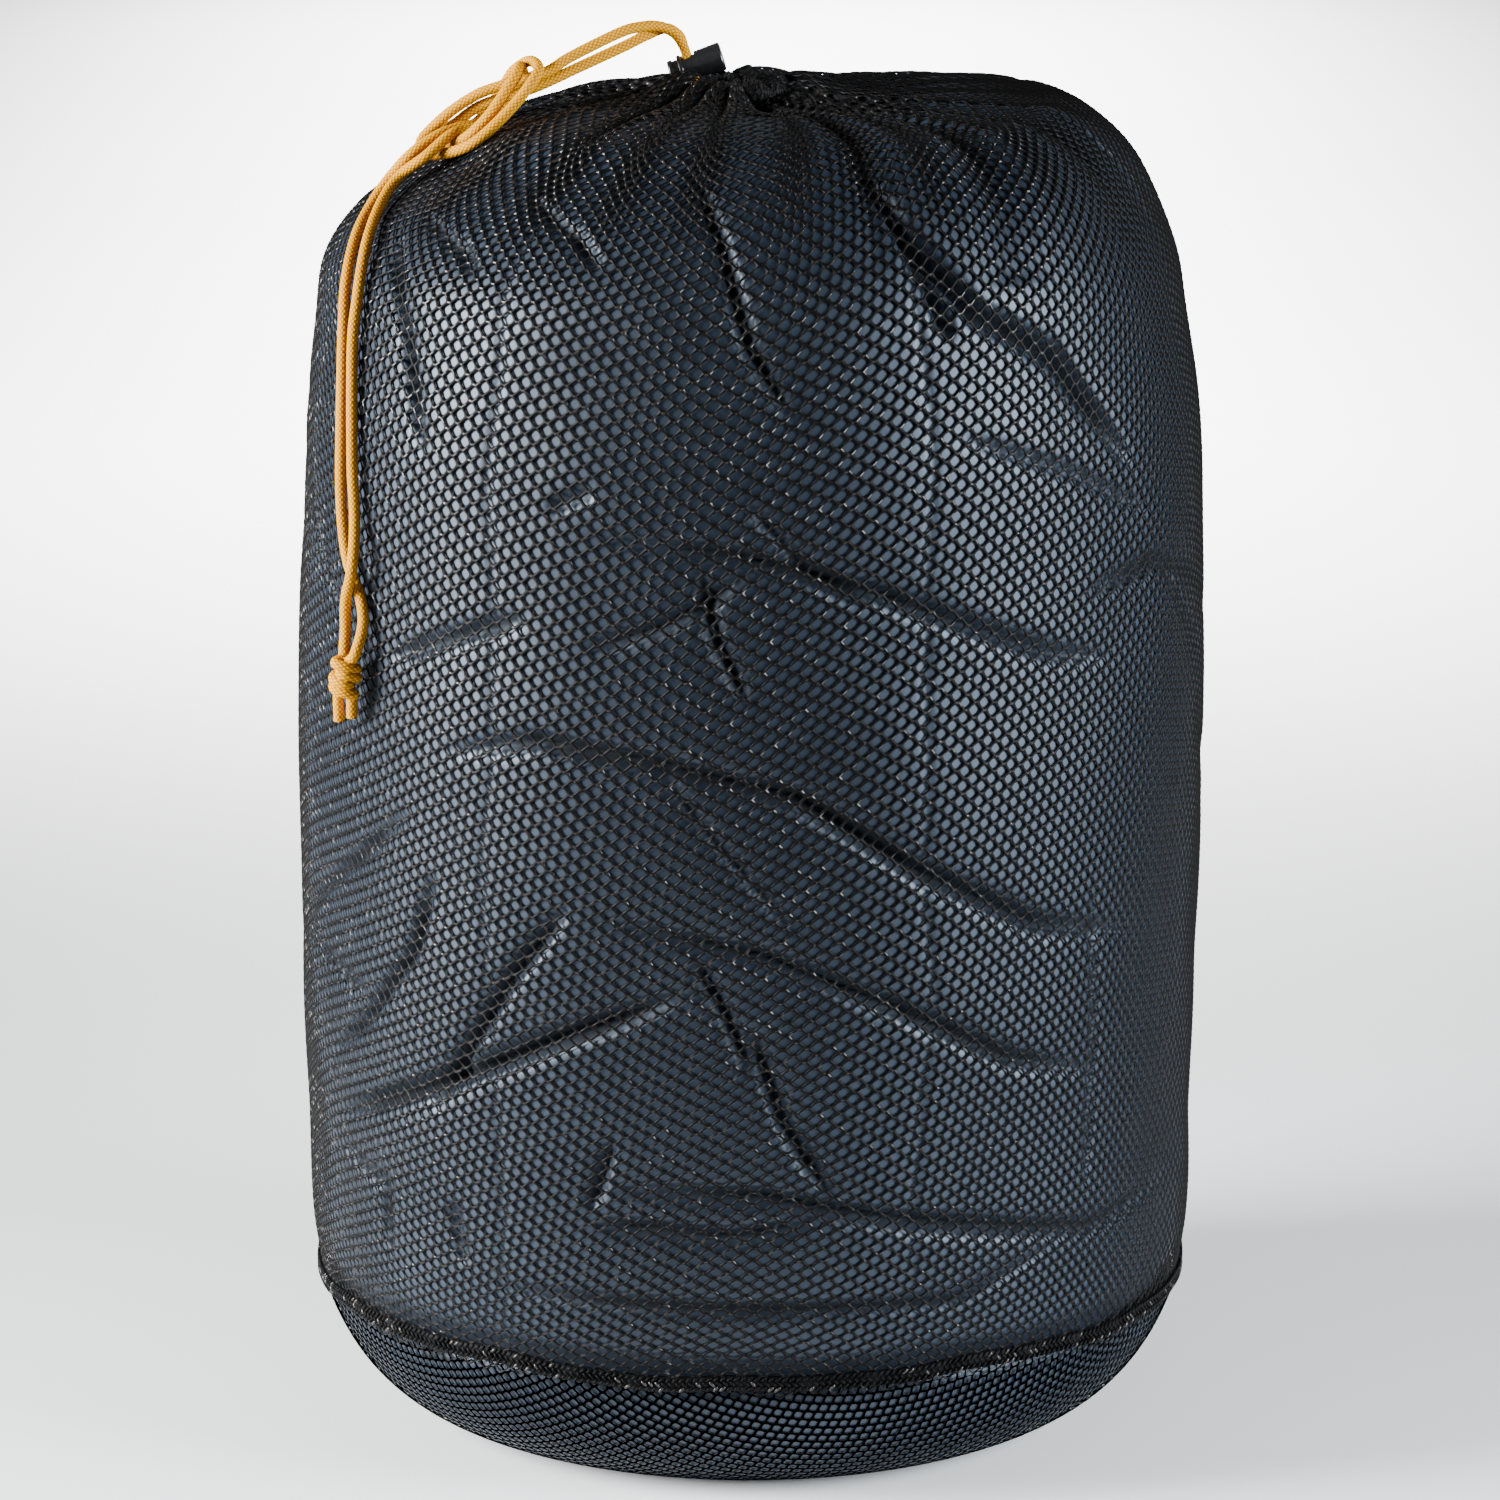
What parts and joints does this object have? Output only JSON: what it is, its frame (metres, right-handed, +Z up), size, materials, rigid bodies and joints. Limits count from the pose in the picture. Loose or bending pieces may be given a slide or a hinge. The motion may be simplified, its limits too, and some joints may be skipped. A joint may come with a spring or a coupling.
{
  "type": "mesh storage sack",
  "caption": "Round-based mesh sack, drawn shut over a stuffed sleeping bag by a knotted cord in a spring cord lock.",
  "frame": {"origin": "on the floor, under the middle of the base", "axes": "+Z up from the base to the gathered mouth, -Y towards the side the knotted cord hangs down, the cord hanging on the -X side"},
  "size_m": [0.382, 0.3832, 0.5892],
  "materials": {
    "netting": "knitted polyester netting, dark",
    "binding": "overlock thread, slightly glossy",
    "cord": "braided, mustard orange",
    "lock_plastic": "satin to gloss, moulded",
    "spring_steel": "bright wire",
    "satin_shell": "slate-blue satin weave"
  },
  "bodies": {
    "sack": {"side_panel": "netting", "base_panel": "netting", "base_seam": "binding", "side_seam": "binding", "drawcord_channel": "netting", "drawcord_in_channel": "cord", "drawcord_in_lock": "cord", "drawcord_left_strand": "cord", "drawcord_right_strand": "cord", "end_knot": "cord", "cord_ends": "cord", "sleeping_bag": "satin_shell"},
    "lock_body": {"lock_barrel": "lock_plastic", "lock_spring": "spring_steel"},
    "lock_plunger": {"lock_plunger": "lock_plastic"}
  },
  "joints": [
    {"name": "lock_slide", "type": "slide", "parent": "sack", "child": "lock_body", "axis": [-0.309, 0, 0.9511], "range_m": [0, 0.0025]},
    {"name": "plunger_press", "type": "slide", "parent": "lock_body", "child": "lock_plunger", "axis": [0.9511, 0, 0.309], "range_m": [0, 0.002], "stiffness_N_per_m": 900, "springref_m": -0.0015, "deforming": ["lock_spring"]}
  ]
}
